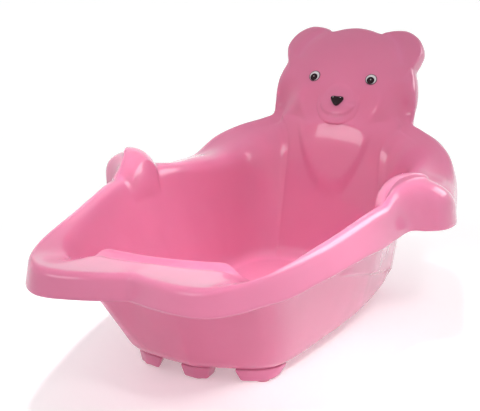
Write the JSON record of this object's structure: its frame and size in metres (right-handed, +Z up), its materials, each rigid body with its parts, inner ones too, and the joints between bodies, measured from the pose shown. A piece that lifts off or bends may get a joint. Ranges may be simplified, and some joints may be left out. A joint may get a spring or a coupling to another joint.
{
  "type": "baby bathtub",
  "caption": "Baby bathtub moulded as a sitting bear: head and arms form the rear rim, paws rest on the sides, with a drain bung and short moulded feet.",
  "frame": {"origin": "on the floor under the middle of the tub's overall box", "axes": "+Y towards the bear's head along the length, +X to the right seen from the foot end, +Z up"},
  "size_m": [0.5083, 0.8408, 0.3669],
  "materials": {
    "tub_plastic": "glossy moulded",
    "eye_white": "polished",
    "eye_black": "polished",
    "nose_black": "polished",
    "washer_steel": "plain zinc",
    "drain_plastic": "glossy moulded",
    "plug_plastic": "glossy moulded",
    "seal_rubber": "matt",
    "pad_rubber": "matt"
  },
  "bodies": {
    "tub": {"tub_shell": "tub_plastic", "eye_left": "eye_white", "eye_right": "eye_white", "pupil_left": "eye_black", "pupil_right": "eye_black", "nose": "nose_black", "face_washers": "washer_steel", "drain_seat": "drain_plastic", "drain_nut": "drain_plastic", "drain_gasket": "seal_rubber", "foot_pad_front_left": "pad_rubber", "foot_pad_front_right": "pad_rubber", "foot_pad_front_centre": "pad_rubber", "foot_pad_rear_left": "pad_rubber", "foot_pad_rear_right": "pad_rubber"},
    "bung": {"drain_plug": "plug_plastic", "plug_seal": "seal_rubber"},
    "pull_ring": {"plug_ring": "plug_plastic"}
  },
  "joints": [
    {"name": "bung_lift", "type": "slide", "parent": "tub", "child": "bung", "axis": [0, 0, 1], "range_m": [0, 0.08]},
    {"name": "pull_ring_hinge", "type": "hinge", "parent": "bung", "child": "pull_ring", "pos_m": [0, -0.13, 0.0258], "axis": [1, 0, 0], "range_deg": [0, 90]}
  ]
}
